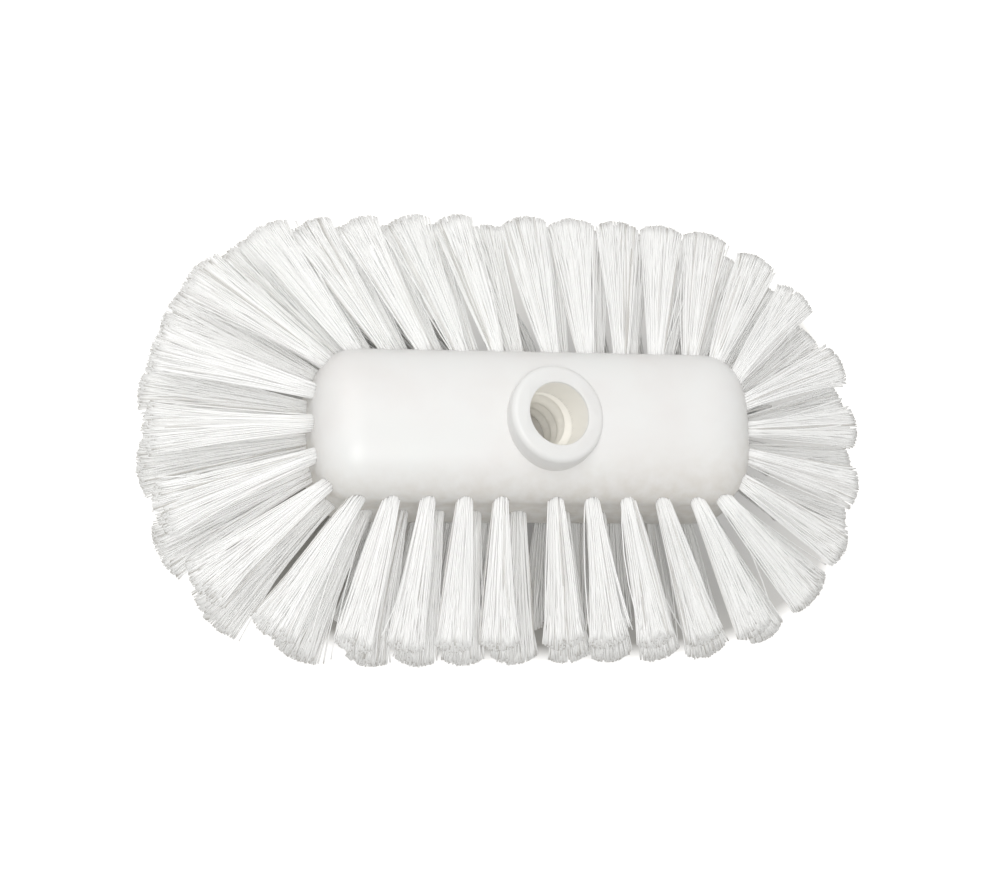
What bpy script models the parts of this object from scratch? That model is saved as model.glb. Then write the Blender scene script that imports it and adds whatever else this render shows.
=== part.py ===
"""Tank brush: a moulded block with a slanted handle socket and rings of fibre tufts.

Metres, +Z up. The block lies along X and the brush stands on its bottom tufts.
"""

import math

import bmesh
import bpy
import numpy as np
from mathutils import Vector

# Block: plan outline, wall and crown
BLOCK_LENGTH = 0.147
BLOCK_WIDTH = 0.0545
END_DEPTH = 0.020
END_POWER = 2.8
WALL_HEIGHT = 0.019
WALL_DRAFT = 0.002
FOOT_ROUND = 0.0015
CROWN_HEIGHT = 0.015
CROWN_POWER = 2.3
RIDGE_SHARE = 0.12

# Collar and socket for the handle
COLLAR_RADIUS = 0.016
COLLAR_EDGE = 0.0010
COLLAR_X = 0.0054
COLLAR_RISE = 0.0043
COLLAR_FLARE = 0.0013
COLLAR_FAIRING = 0.006
COLLAR_FOOT_SHARE = 0.6
SOCKET_TILT = math.radians(14)
MOUTH_RADIUS = 0.0102
MOUTH_DEPTH = 0.008
BORE_RADIUS = 0.0097
BORE_DEPTH = 0.030

# Backing slices, set into grooves and a pocket of the block
GAP = 0.0003
SLICE_HEIGHT = 0.0078
SLICE_DEPTH = 0.0065
POCKET_RIM = 0.003
POCKET_SLICE = 0.0045
RIM_SLICE_WIDTH = 0.0085

# Tufts: where the rows stand
TUFT_PITCH = 0.01175
MIDDLE_PITCH = 0.01775
PATTERN_X = -0.0025
SIDE_TUFTS = 10
RIGHT_END_TUFTS = 7
LEFT_END_TUFTS = 5
BOTTOM_TUFTS = 9
LOWER_ROW_Z = 0.01025
ROW_STEP = 0.01175
RIM_ROOT_SHIFT = 0.00066

# Fans in plan: where a side's tufts point straight out and how they turn towards its ends
FRONT_MIDDLE = -0.005
FRONT_AIM = math.radians(-88)
FRONT_TURN = math.radians(10.7)
FRONT_CURL = math.radians(12.9)
BACK_MIDDLE = 0.022
BACK_TURN = math.radians(22.5)

# Reach and droop: the tufts stand longer towards one side of each row and flatter towards one
UPPER_LENGTH = 0.0493
LOWER_LENGTH = 0.052
RIM_LENGTH = 0.0515
LENGTH_SWAY = 0.0042
UPPER_LONG_SIDE = math.radians(160)
LOWER_LONG_SIDE = math.radians(170)
UPPER_DROOP = math.radians(15)
LOWER_DROOP = math.radians(21.5)
RIM_DROOP = math.radians(47)
DROOP_SWAY = math.radians(7)
UPPER_FLAT_SIDE = math.radians(150)
LOWER_FLAT_SIDE = math.radians(120)

# Corner at the right end's back, where the tufts are shorter
CORNER_ARC = 0.117
CORNER_WIDTH = 0.014
CORNER_CUT = 0.0035

# Strands of a tuft
STAND_HEIGHT = 0.048
TIP_TRIM = 0.0005
STRAND_GAP = 0.0005
STRAND_TIP_GAP = 0.0009

# Strand count, root width, tip width and the depth held in the backing
WALL_TUFT = (4, 0.0023, 0.0048, 0.0025)
RIM_TUFT = (3, 0.00184, 0.0042, 0.0030)
BOTTOM_TUFT = (4, 0.0023, 0.0041, 0.0025)

# Length, side of the longest tufts, droop, side of the flattest, and the share of both sways
UPPER_LIE = (UPPER_LENGTH, UPPER_LONG_SIDE, UPPER_DROOP, UPPER_FLAT_SIDE, 1)
LOWER_LIE = (LOWER_LENGTH, LOWER_LONG_SIDE, LOWER_DROOP, LOWER_FLAT_SIDE, 1)
RIM_LIE = (RIM_LENGTH, LOWER_LONG_SIDE, RIM_DROOP, LOWER_FLAT_SIDE, 0)

# Facets
END_STEPS = 24
CROWN_STEPS = 9
ROUND_STEPS = 3
COLLAR_STEPS = 48
FLARE_STEPS = 5
TABLE_STEPS = 4000

HALF_WIDTH = BLOCK_WIDTH / 2
STRAIGHT = BLOCK_LENGTH / 2 - END_DEPTH
BLOCK_HEIGHT = WALL_HEIGHT + CROWN_HEIGHT
UPPER_ROW_Z = LOWER_ROW_Z + ROW_STEP
RIM_Z = BLOCK_HEIGHT + COLLAR_RISE
POCKET_DEPTH = POCKET_SLICE + GAP
RIM_INSET = POCKET_RIM + GAP + RIM_SLICE_WIDTH / 2
FIELD_INSET = POCKET_RIM + GAP + RIM_SLICE_WIDTH + GAP
ROW_REACH = MIDDLE_PITCH / 2 + TUFT_PITCH * (SIDE_TUFTS / 2 - 1)
FIRST_X = PATTERN_X - ROW_REACH
LAST_X = PATTERN_X + ROW_REACH
SOCKET_AXIS = Vector((math.sin(SOCKET_TILT), 0, math.cos(SOCKET_TILT)))
SOCKET_SIDE = Vector((math.cos(SOCKET_TILT), 0, -math.sin(SOCKET_TILT)))
ACROSS = Vector((0, 1, 0))


def outline_point(u, inset_y, inset_x):
    """Plan outline drawn in by two insets; u runs 0 to 4 over front, right end, back, left end."""
    section = int(u) % 4
    share = u - int(u)
    half = HALF_WIDTH - inset_y
    if section == 0:
        return Vector((STRAIGHT * (2 * share - 1), -half, 0))
    if section == 2:
        return Vector((STRAIGHT * (1 - 2 * share), half, 0))
    depth = END_DEPTH - inset_x
    turn = math.pi * (share - 0.5)
    reach = depth * math.cos(turn) ** (2 / END_POWER)
    swing = half * math.copysign(abs(math.sin(turn)) ** (2 / END_POWER), math.sin(turn))
    if section == 1:
        return Vector((STRAIGHT + reach, swing, 0))
    return Vector((-STRAIGHT - reach, -swing, 0))


def arc_table():
    """Pairs of u and arc length along the outline, the length counted from the front's middle."""
    params = np.linspace(0, 4, TABLE_STEPS + 1)
    points = np.array([outline_point(u, 0, 0)[:2] for u in params])
    steps = np.linalg.norm(np.diff(points, axis=0), axis=1)
    lengths = np.concatenate([[0], np.cumsum(steps)])
    return params, lengths - STRAIGHT


ARC_PARAMS, ARC_LENGTHS = arc_table()
PERIMETER = float(ARC_LENGTHS[-1] - ARC_LENGTHS[0])


def param_at(arc):
    """The outline's u at an arc length."""
    wrapped = (arc - ARC_LENGTHS[0]) % PERIMETER + ARC_LENGTHS[0]
    return float(np.interp(wrapped, ARC_LENGTHS, ARC_PARAMS))


def front_angle(x):
    """Plan angle of a front tuft: a fan that opens faster towards its ends."""
    share = (x - FRONT_MIDDLE) / STRAIGHT
    return FRONT_AIM + FRONT_TURN * share + FRONT_CURL * share * abs(share)


def back_angle(x):
    """Plan angle of a back tuft: an even fan."""
    return math.pi / 2 + BACK_TURN * (BACK_MIDDLE - x) / STRAIGHT


def fan_angle(arc):
    """Plan angle of a tuft at an arc length: slow fans along the sides, even turns round the ends."""
    start = FIRST_X + TUFT_PITCH
    place = (arc - start) % PERIMETER + start
    back_first = PERIMETER / 2 - LAST_X
    back_last = PERIMETER / 2 - FIRST_X
    if place <= LAST_X:
        return front_angle(place)
    if place < back_first:
        share = (place - LAST_X) / (back_first - LAST_X)
        return front_angle(LAST_X) * (1 - share) + back_angle(LAST_X) * share
    if place <= back_last:
        return back_angle(PERIMETER / 2 - place)
    share = (place - back_last) / (start + PERIMETER - back_last)
    return back_angle(FIRST_X) * (1 - share) + (front_angle(start) + 2 * math.pi) * share


def corner_cut(arc):
    """How much shorter a tuft is near that corner."""
    return CORNER_CUT * math.exp(-((arc - CORNER_ARC) / CORNER_WIDTH) ** 2)


def wall_insets(z):
    """Insets in Y and X of the block's outer surface at a height above its foot."""
    if z <= WALL_HEIGHT:
        inset = WALL_DRAFT * z / WALL_HEIGHT
        return inset, inset
    rise = min((z - WALL_HEIGHT) / CROWN_HEIGHT, 1)
    shrink = 1 - (1 - rise ** CROWN_POWER) ** (1 / CROWN_POWER)
    return (WALL_DRAFT + (HALF_WIDTH - WALL_DRAFT) * shrink,
            WALL_DRAFT + (END_DEPTH - WALL_DRAFT) * shrink)


def surface_point(arc, insets, z):
    """A point over the outline, at a height above the block's foot."""
    point = outline_point(param_at(arc), *insets)
    point.z = STAND_HEIGHT + z
    return point


def material(name, colour, roughness):
    """A plain Principled material."""
    made = bpy.data.materials.new(name)
    made.use_nodes = True
    shader = made.node_tree.nodes["Principled BSDF"]
    shader.inputs["Base Color"].default_value = (*colour, 1)
    shader.inputs["Roughness"].default_value = roughness
    made.diffuse_color = (*colour, 1)
    return made


def add_loft(mesh, rings):
    """Add a closed body through rings of equal point counts, with flat ends."""
    rows = [[mesh.verts.new(point) for point in ring] for ring in rings]
    for low, high in zip(rows, rows[1:]):
        for k in range(len(low)):
            after = (k + 1) % len(low)
            mesh.faces.new((low[k], low[after], high[after], high[k]))
    mesh.faces.new(reversed(rows[0]))
    mesh.faces.new(rows[-1])


def make_object(name, mesh, finish):
    """Turn a bmesh into an object with outward faces."""
    bmesh.ops.recalc_face_normals(mesh, faces=mesh.faces)
    data = bpy.data.meshes.new(name)
    mesh.to_mesh(data)
    mesh.free()
    data.materials.append(finish)
    made = bpy.data.objects.new(name, data)
    bpy.context.scene.collection.objects.link(made)
    return made


def combine(target, tool, operation):
    """Apply a Boolean to the target and take the tool away."""
    change = target.modifiers.new("combine", "BOOLEAN")
    change.operation = operation
    change.solver = "EXACT"
    change.object = tool
    bpy.context.view_layer.update()
    graph = bpy.context.evaluated_depsgraph_get()
    result = bpy.data.meshes.new_from_object(target.evaluated_get(graph))
    target.modifiers.clear()
    target.data = result
    bpy.data.objects.remove(tool)


def shade(target):
    """Smooth the round faces and keep the hard edges."""
    target.data.shade_smooth()
    target.data.set_sharp_from_angle(angle=math.radians(32))


def ring_stations():
    """Arc lengths at which the block's outline bends: both ends, finely divided."""
    end_arc = PERIMETER / 2 - 2 * STRAIGHT
    right = [STRAIGHT + end_arc * k / END_STEPS for k in range(END_STEPS + 1)]
    left = [arc + PERIMETER / 2 for arc in right]
    return right + left


def groove(row_z):
    """Insets and heights of a groove that goes all round the wall at a row of tufts."""
    low = row_z - SLICE_HEIGHT / 2 - GAP
    high = row_z + SLICE_HEIGHT / 2 + GAP
    floor = wall_insets(high)[0] + SLICE_DEPTH + GAP
    return low, high, floor


def block_levels():
    """Profile of the block: pocket, foot, wall, two grooves and crown, as insets and heights."""
    levels = [((POCKET_RIM, POCKET_RIM), POCKET_DEPTH), ((POCKET_RIM, POCKET_RIM), 0)]
    for k in range(ROUND_STEPS + 1):
        turn = math.pi / 2 * k / ROUND_STEPS
        z = FOOT_ROUND * (1 - math.cos(turn))
        inset = FOOT_ROUND * (1 - math.sin(turn)) + wall_insets(z)[0]
        levels.append(((inset, inset), z))
    for row_z in (LOWER_ROW_Z, UPPER_ROW_Z):
        low, high, floor = groove(row_z)
        levels.append((wall_insets(low), low))
        levels.append(((floor, floor), low))
        levels.append(((floor, floor), high))
        levels.append((wall_insets(high), high))
    top_turn = math.acos(RIDGE_SHARE ** (CROWN_POWER / 2))
    for k in range(1, CROWN_STEPS + 1):
        turn = top_turn * k / CROWN_STEPS
        z = WALL_HEIGHT + CROWN_HEIGHT * math.sin(turn) ** (2 / CROWN_POWER)
        if z > levels[-1][1] + GAP:
            levels.append((wall_insets(z), z))
    return levels


def collar_point(turn, radius, drop):
    """A point round the collar: radius from its axis and drop below its rim."""
    centre = Vector((COLLAR_X, 0, STAND_HEIGHT + RIM_Z))
    spoke = SOCKET_SIDE * math.cos(turn) + ACROSS * math.sin(turn)
    return centre + spoke * radius - SOCKET_AXIS * drop


def collar_rings():
    """Rim, rounded edge and a wall that fairs into the crown on the side the rim stands high."""
    turns = [2 * math.pi * k / COLLAR_STEPS for k in range(COLLAR_STEPS)]
    rings = []
    for k in range(ROUND_STEPS + 1):
        bend = math.pi / 2 * k / ROUND_STEPS
        radius = COLLAR_RADIUS - COLLAR_EDGE * (1 - math.sin(bend))
        drop = COLLAR_EDGE * (1 - math.cos(bend))
        rings.append([collar_point(turn, radius, drop) for turn in turns])
    foot_z = STAND_HEIGHT + WALL_HEIGHT + CROWN_HEIGHT * COLLAR_FOOT_SHARE
    high_z = STAND_HEIGHT + BLOCK_HEIGHT - COLLAR_EDGE
    for k in range(1, FLARE_STEPS + 1):
        share = k / FLARE_STEPS
        ring = []
        for turn, start in zip(turns, rings[ROUND_STEPS]):
            lean = max(0, -math.cos(turn)) ** 2
            flare = COLLAR_FLARE + COLLAR_FAIRING * lean
            end_z = foot_z + (high_z - foot_z) * lean
            spoke = Vector((math.cos(turn), math.sin(turn), 0))
            spread = share * (1 - lean) + (1 - math.cos(math.pi / 2 * share)) * lean
            fall = share * (1 - lean) + math.sin(math.pi / 2 * share) * lean
            point = start + spoke * flare * spread
            point.z = start.z + (end_z - start.z) * fall
            ring.append(point)
        rings.append(ring)
    rings.append([Vector((p.x, p.y, foot_z - COLLAR_EDGE)) for p in rings[-1]])
    return rings


def socket_rings():
    """Plain bore with a wider mouth, standing in for the threaded socket."""
    profile = ((MOUTH_RADIUS, -MOUTH_DEPTH), (MOUTH_RADIUS, MOUTH_DEPTH),
               (BORE_RADIUS, MOUTH_DEPTH + MOUTH_RADIUS - BORE_RADIUS), (BORE_RADIUS, BORE_DEPTH))
    turns = [2 * math.pi * k / COLLAR_STEPS for k in range(COLLAR_STEPS)]
    return [[collar_point(turn, radius, drop) for turn in turns] for radius, drop in profile]


def build_block(finish):
    """The moulded block with its collar and socket."""
    body = bmesh.new()
    add_loft(body, [[surface_point(arc, insets, z) for arc in ring_stations()]
                    for insets, z in block_levels()])
    block = make_object("block", body, finish)
    for rings, operation in ((collar_rings(), "UNION"), (socket_rings(), "DIFFERENCE")):
        tool = bmesh.new()
        add_loft(tool, rings)
        combine(block, make_object("tool", tool, finish), operation)
    shade(block)


def upper_arcs():
    """Arc lengths of the upper row, from the front's left to the left end's last tuft."""
    half = SIDE_TUFTS // 2
    steps = [MIDDLE_PITCH / 2 + TUFT_PITCH * k for k in range(half)]
    front = [PATTERN_X - step for step in reversed(steps)] + [PATTERN_X + step for step in steps]
    back = [PERIMETER / 2 - arc for arc in reversed(front)]
    right = np.linspace(front[-1], back[0], RIGHT_END_TUFTS + 2)[1:-1]
    left = np.linspace(back[-1], front[0] + PERIMETER, LEFT_END_TUFTS + 2)[1:-1]
    return [float(arc) for arc in (*front, *right, *back, *left)]


def split_row(arcs, counts):
    """Cut a closed row into named groups, each with the arc lengths where its slice ends."""
    names = ("front_left", "front_right", "right_end", "back_right", "back_left", "left_end")
    closed = [arcs[-1] - PERIMETER, *arcs, arcs[0] + PERIMETER]
    groups = []
    start = 1
    for name, count in zip(names, counts):
        stop = start + count
        low = (closed[start - 1] + closed[start]) / 2 + GAP / 2
        high = (closed[stop - 1] + closed[stop]) / 2 - GAP / 2
        groups.append((name, closed[start:stop], low, high))
        start = stop
    return groups


def slice_stations(low, high):
    """Arc lengths along a slice: its ends and each bend of the outline between them."""
    bends = sorted(arc + turn for arc in ring_stations() for turn in (-PERIMETER, 0, PERIMETER))
    return [low] + [arc for arc in bends if low + GAP < arc < high - GAP] + [high]


def wall_slice(row_z, low, high):
    """Rings of a slice that lies in a groove, its outer face flush with the wall."""
    bottom = row_z - SLICE_HEIGHT / 2
    top = row_z + SLICE_HEIGHT / 2
    floor = groove(row_z)[2] - GAP
    face = [bottom + (top - bottom) * k / ROUND_STEPS for k in range(ROUND_STEPS + 1)]
    rings = []
    for arc in slice_stations(low, high):
        ring = [surface_point(arc, wall_insets(z), z) for z in face]
        ring.append(surface_point(arc, (floor, floor), top))
        ring.append(surface_point(arc, (floor, floor), bottom))
        rings.append(ring)
    return rings


def rim_slice(low, high):
    """Rings of a slice that lies round the edge of the bottom pocket."""
    outer = POCKET_RIM + GAP
    inner = outer + RIM_SLICE_WIDTH
    corners = ((outer, 0), (outer, POCKET_SLICE), (inner, POCKET_SLICE), (inner, 0))
    return [[surface_point(arc, (inset, inset), z) for inset, z in corners]
            for arc in slice_stations(low, high)]


def bottom_slice(low_y, high_y):
    """Rings of a strip of the pocket's floor, its ends following the slices round it."""
    half = HALF_WIDTH - FIELD_INSET
    depth = END_DEPTH - FIELD_INSET
    edge = []
    for y in np.linspace(low_y, high_y, END_STEPS // 2 + 1):
        share = min(abs(y) / half, 1)
        edge.append((STRAIGHT + depth * (1 - share ** END_POWER) ** (1 / END_POWER), float(y)))
    loop = edge + [(-x, y) for x, y in reversed(edge)]
    return [[Vector((x, y, STAND_HEIGHT + z)) for x, y in loop] for z in (POCKET_SLICE, 0)]


def add_tuft(mesh, root, direction, side, length, build):
    """Add the strands of a tuft, side by side and spreading, none of them touching."""
    strands, root_width, tip_width, embed = build
    up = side.cross(direction)
    spacing = 2 * math.sin(math.pi / strands)
    for k in range(strands):
        turn = math.pi / 2 + 2 * math.pi * (k + 0.5) / strands
        away = side * math.cos(turn) + up * math.sin(turn)
        beside = up * math.cos(turn) - side * math.sin(turn)
        rings = []
        for along, width, gap in ((-embed, root_width, STRAND_GAP),
                                  (length, tip_width, STRAND_TIP_GAP)):
            corner = width / math.sqrt(2)
            centre = root + direction * along + away * (corner + gap / spacing)
            rings.append([centre + away * corner, centre + beside * corner,
                          centre - away * corner, centre - beside * corner])
        add_loft(mesh, rings)


def side_tufts(arcs, insets, z, lie, build):
    """A bmesh with the drooping tufts of part of a row."""
    mesh = bmesh.new()
    length, long_side, droop, flat_side, sway = lie
    for arc in arcs:
        root = surface_point(arc, insets, z)
        angle = fan_angle(arc)
        fall = droop - sway * DROOP_SWAY * math.cos(angle - flat_side)
        plan = Vector((math.cos(angle), math.sin(angle), 0))
        direction = plan * math.cos(fall) - Vector((0, 0, math.sin(fall)))
        side = plan.cross(Vector((0, 0, 1)))
        reach = length + sway * LENGTH_SWAY * math.cos(angle - long_side) - corner_cut(arc)
        add_tuft(mesh, root, direction, side, reach, build)
    return mesh


def bottom_tufts(row_y):
    """A bmesh with one row of upright tufts, cut flat where the brush stands."""
    mesh = bmesh.new()
    for k in range(BOTTOM_TUFTS):
        x = TUFT_PITCH * (k - (BOTTOM_TUFTS - 1) / 2)
        root = Vector((x, row_y, STAND_HEIGHT))
        length = STAND_HEIGHT + TIP_TRIM
        add_tuft(mesh, root, Vector((0, 0, -1)), Vector((1, 0, 0)), length, BOTTOM_TUFT)
    for vert in mesh.verts:
        vert.co.z = max(vert.co.z, 0)
    return mesh


def build_tufts(name, rings, tufts, finish):
    """Fuse a group of tufts to its slice of backing."""
    backing = bmesh.new()
    add_loft(backing, rings)
    node = make_object(name, backing, finish)
    combine(node, make_object("strands", tufts, finish), "UNION")
    shade(node)


def build_rows(finish):
    """The upper and lower rows round the wall and the row round the bottom edge."""
    upper = upper_arcs()
    lower = [(a + b) / 2 for a, b in zip(upper, upper[1:] + [upper[0] + PERIMETER])]
    half = SIDE_TUFTS // 2
    upper_counts = (half, half, RIGHT_END_TUFTS, half, half, LEFT_END_TUFTS)
    lower_counts = (half, half - 1, RIGHT_END_TUFTS + 1, half - 1, half, LEFT_END_TUFTS + 1)
    for label, arcs, counts, z, lie in (
            ("upper", upper, upper_counts, UPPER_ROW_Z, UPPER_LIE),
            ("lower", lower, lower_counts, LOWER_ROW_Z, LOWER_LIE)):
        for name, group, low, high in split_row(arcs, counts):
            tufts = side_tufts(group, wall_insets(z), z, lie, WALL_TUFT)
            build_tufts(f"{label}_{name}", wall_slice(z, low, high), tufts, finish)
    rim = RIM_INSET - RIM_ROOT_SHIFT
    for name, group, low, high in split_row(upper, upper_counts):
        tufts = side_tufts(group, (rim, rim), 0, RIM_LIE, RIM_TUFT)
        build_tufts(f"rim_{name}", rim_slice(low, high), tufts, finish)


def build_bottom(finish):
    """Three straight rows of upright tufts in the middle of the bottom pocket."""
    half = HALF_WIDTH - FIELD_INSET
    strip = (2 * half - 2 * GAP) / 3
    for k, name in enumerate(("bottom_front", "bottom_middle", "bottom_back")):
        low = -half + k * (strip + GAP)
        high = low + strip
        build_tufts(name, bottom_slice(low, high), bottom_tufts((low + high) / 2), finish)


def centre_parts():
    """Bring the middle of the whole brush's box over the origin."""
    points = [vert.co for part in bpy.data.objects for vert in part.data.vertices]
    for axis in (0, 1):
        values = [point[axis] for point in points]
        shift = (min(values) + max(values)) / 2
        for point in points:
            point[axis] -= shift


def main():
    """Build the brush."""
    for old in list(bpy.data.objects):
        bpy.data.objects.remove(old)
    build_block(material("block_plastic", (0.90, 0.895, 0.88), 0.35))
    fibre = material("fibre", (0.93, 0.93, 0.92), 0.45)
    build_rows(fibre)
    build_bottom(fibre)
    centre_parts()


main()
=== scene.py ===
"""Looks of the tank brush: seamless moulded block, threaded socket and fine fibre tufts."""

import math

import bmesh
import bpy
import numpy as np
from mathutils import Matrix, Vector


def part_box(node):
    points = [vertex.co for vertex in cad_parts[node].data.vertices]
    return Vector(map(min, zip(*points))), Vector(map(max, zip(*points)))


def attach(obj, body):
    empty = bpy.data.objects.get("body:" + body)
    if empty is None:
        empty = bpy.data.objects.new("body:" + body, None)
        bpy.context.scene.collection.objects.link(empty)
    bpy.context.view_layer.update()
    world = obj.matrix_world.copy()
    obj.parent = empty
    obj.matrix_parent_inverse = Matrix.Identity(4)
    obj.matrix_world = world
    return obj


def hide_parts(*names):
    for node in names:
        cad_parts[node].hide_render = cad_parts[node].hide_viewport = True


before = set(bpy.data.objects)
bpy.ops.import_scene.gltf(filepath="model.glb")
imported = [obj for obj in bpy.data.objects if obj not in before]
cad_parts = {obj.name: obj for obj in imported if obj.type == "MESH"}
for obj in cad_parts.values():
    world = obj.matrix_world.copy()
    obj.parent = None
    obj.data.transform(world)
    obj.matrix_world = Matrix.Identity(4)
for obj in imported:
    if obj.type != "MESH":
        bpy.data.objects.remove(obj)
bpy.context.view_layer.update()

BLOCK_LOW, BLOCK_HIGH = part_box("block")
MM = 0.001
UP = Vector((0, 0, 1))

# Photograph's camera
IMAGE_WIDTH = 1000
FOCAL_PIXELS = 2184
SENSOR = 36.0
CAMERA_AZIMUTH = math.radians(-34.67)
CAMERA_HEIGHT = math.radians(72.23)
CAMERA_ROLL = math.radians(34.1)
CAMERA_DISTANCE = 700 * MM
CAMERA_AIM = Vector((-10.70, -3.49, 68.0)) * MM

# Block, centred where the frame has it
CENTRE = Vector(((BLOCK_LOW[0] + BLOCK_HIGH[0]) / 2, (BLOCK_LOW[1] + BLOCK_HIGH[1]) / 2, 0))
STAND = BLOCK_LOW[2]
LENGTH = 147 * MM
WIDTH = 54.5 * MM
END_DEPTH = 20 * MM
END_POWER = 2.8
WALL_HEIGHT = 19 * MM
WALL_DRAFT = 2 * MM
FOOT_ROUND = 1.5 * MM
CROWN_HEIGHT = 15 * MM
CROWN_POWER = 2.3
HALF_WIDTH = WIDTH / 2
STRAIGHT = LENGTH / 2 - END_DEPTH
CROWN_END = math.radians(86.5)
CROWN_CROWDING = 1.15
OUTLINE_SAMPLES = 4001
BODY_CREASE = math.radians(30)

# Collar and threaded socket. The collar's foot lies at a share of the crown's height, and the
# mouth is eased through pairs in mm: how far past its radius and how far below the rim
TILT = math.radians(14)
COLLAR_RADIUS = 16 * MM
COLLAR_EDGE = 2.0 * MM
COLLAR_X = 5.4 * MM
RIM_Z = 38.3 * MM
COLLAR_FLARE = 0.3 * MM
COLLAR_FRONT_FLARE = 1.2 * MM
COLLAR_FOOT_SHARE = 0.6
COLLAR_ROOT = 2.0 * MM
MOUTH_RADIUS = 10.2 * MM
MOUTH_EASE = ((2.0, -2.0), (0.5, -0.05), (0.15, 0.12), (0, 0.5))
MOUTH_DEPTH = 12.5 * MM
THREAD_ROOT = 9.7 * MM
THREAD_CREST = 8.2 * MM
THREAD_FLANK = 0.88
THREAD_LEAD = 2.5 * MM
THREAD_PITCH = 5.08 * MM
SOCKET_DEPTH = 30 * MM
SLEEVE_WALL = 0.4 * MM
SLEEVE_TOP = 0.8 * MM
SLEEVE_STEP = 0.02 * MM
SLEEVE_FOOT = THREAD_CREST * 0.3
SLEEVE_CREASE = math.radians(50)
AXIS = Vector((math.sin(TILT), 0, math.cos(TILT)))
SPOKE = Vector((math.cos(TILT), 0, -math.sin(TILT)))
ACROSS = Vector((0, 1, 0))
RIM_CENTRE = Vector((COLLAR_X, 0, STAND + RIM_Z)) + CENTRE

# Tuft pattern
PITCH = 11.75 * MM
MIDDLE_PITCH = 17.75 * MM
PATTERN_X = -2.5 * MM
HALF_SIDE = 5
RIGHT_END = 7
LEFT_END = 5
BOTTOM_COUNT = 9
LOWER_Z = 10.25 * MM
UPPER_Z = 22.0 * MM
RIM_INSET = 6.89 * MM
BOTTOM_SPACING = 9.9 * MM
LOWER_LEFT_SHIFT = 2.5 * MM
LOWER_FRONT_SHIFT = 1.5 * MM
HOLE_RADIUS = 2.5 * MM
RIM_HOLE_RADIUS = 2.2 * MM
HOLE_DEPTH = 4 * MM
DRILL_RUN_OUT = 6 * MM
DRILL_SIDES = 20
ROW_REACH = MIDDLE_PITCH / 2 + PITCH * (HALF_SIDE - 1)
FIRST_X = PATTERN_X - ROW_REACH
LAST_X = PATTERN_X + ROW_REACH

# Fans in plan: where a side's tufts point straight out and how they turn towards its ends
FRONT_MIDDLE = -5 * MM
FRONT_AIM = math.radians(-88)
FRONT_TURN = math.radians(10.7)
FRONT_CURL = math.radians(12.9)
BACK_MIDDLE = 22 * MM
BACK_TURN = math.radians(22.5)
SPLAY_ARC = 115 * MM
SPLAY_WIDTH = 8 * MM
SPLAY = math.radians(9)

# Reach and droop: the tufts stand longer towards one side of each row and flatter towards one
LENGTH_SWAY = 4.2 * MM
DROOP_SWAY = math.radians(7)

# Corner at the right end's back, where the tufts are shorter
CORNER_ARC = 117 * MM
CORNER_WIDTH = 14 * MM
CORNER_CUT = 3.5 * MM

# Corner at the right end's front, where they are longer
GAIN_ARC = 52 * MM
GAIN_WIDTH = 24 * MM
CORNER_GAIN = 3.2 * MM

# Fibres: thin prisms, with rings at these shares of their length
FIBRE_RADIUS = 0.26 * MM
FIBRE_SIDES = 4
FIBRE_SHARES = np.array((0, 0.2, 0.4, 0.6, 0.8, 0.95, 1))
FIBRE_RINGS = len(FIBRE_SHARES)
ROOT_DEPTH = 3.5 * MM
ROOT_SLACK = 0.2 * MM
BOW = 0.7 * MM
GOLDEN = math.pi * (3 - math.sqrt(5))
SEED = 41

# Trimmed ends: domed and slanted as a whole, with a share painted dark as shade between the cut
# ends
TIP_DOME = 3.0 * MM
CUT_SLANT = 0.35
CUT_ROUGHNESS = 0.2 * MM
SHADED_ENDS = 0.35

# Spread across a tuft, in shares of its half width: clumps that pull fibres in, and strays
ROOT_JITTER = 0.03
TIP_JITTER = 0.05
CLUMPS = 7
CLUMP_REACH = 0.8
CLUMP_PULL = (0.10, 0.45)
STRAY_SHARE = 0.04
STRAY_REACH = 0.35

# Opening of a tuft along its length: earlier at the back, wider at the left, narrower in front
FLARE_POWER = 1.75
BACK_FLARE = -0.45
BACK_FLARE_START = 14 * MM
BACK_FLARE_RUN = 8 * MM
LEFT_FAN = 0.22
LEFT_FAN_START = -40 * MM
LEFT_FAN_RUN = -20 * MM
FRONT_FAN = -0.13
FRONT_FAN_START = -14 * MM
FRONT_FAN_RUN = -8 * MM

# Light through the tufts: how many of every 16 fibres of a row shade soft light, and how much of
# a lamp's light each fibre lets past
SHADE_STEPS = 16
SHADE_SHARE = {"upper": 1, "lower": 5, "rim": SHADE_STEPS, "bottom": SHADE_STEPS}
LAMP_PASSES = 0.94

# Colours
BLOCK_WARM = (0.765, 0.750, 0.735)
BLOCK_WHITE = (0.790, 0.787, 0.775)
BLOCK_COOL = (0.792, 0.802, 0.788)
BLOCK_ROUGHNESS = (0.30, 0.46)
# Socket lining: painted lighter and warmer, for the light passed back and forth inside the socket
SOCKET_LIT_WHITE = (0.945, 0.927, 0.875)
# Darkest fibre tones: painted shade lines between fibres and between their cut ends
FIBRE_DEEP_SHADE = (0.60, 0.585, 0.55)
FIBRE_SHADE_LINE = (0.86, 0.85, 0.83)
FIBRE_WHITE = (0.97, 0.97, 0.957)
FIBRE_BRIGHT = (0.995, 0.995, 0.985)
# Floor base, grey: under the brush it shows as painted shade, darker than the shadow alone
FLOOR_DARK_BASE = (0.50, 0.487, 0.458)

# Grime and painted shade low on the block's front and right end, where shade falls, by depth along
# a leaning direction
GRIME_SHADE_WAY = Vector((-0.05, 0.35, 1))
GRIME_SHADE_TOP = 30 * MM
GRIME_SHADE_FULL = 14 * MM
GRIME_AND_SHADE = (0.66, 0.63, 0.58)

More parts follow.
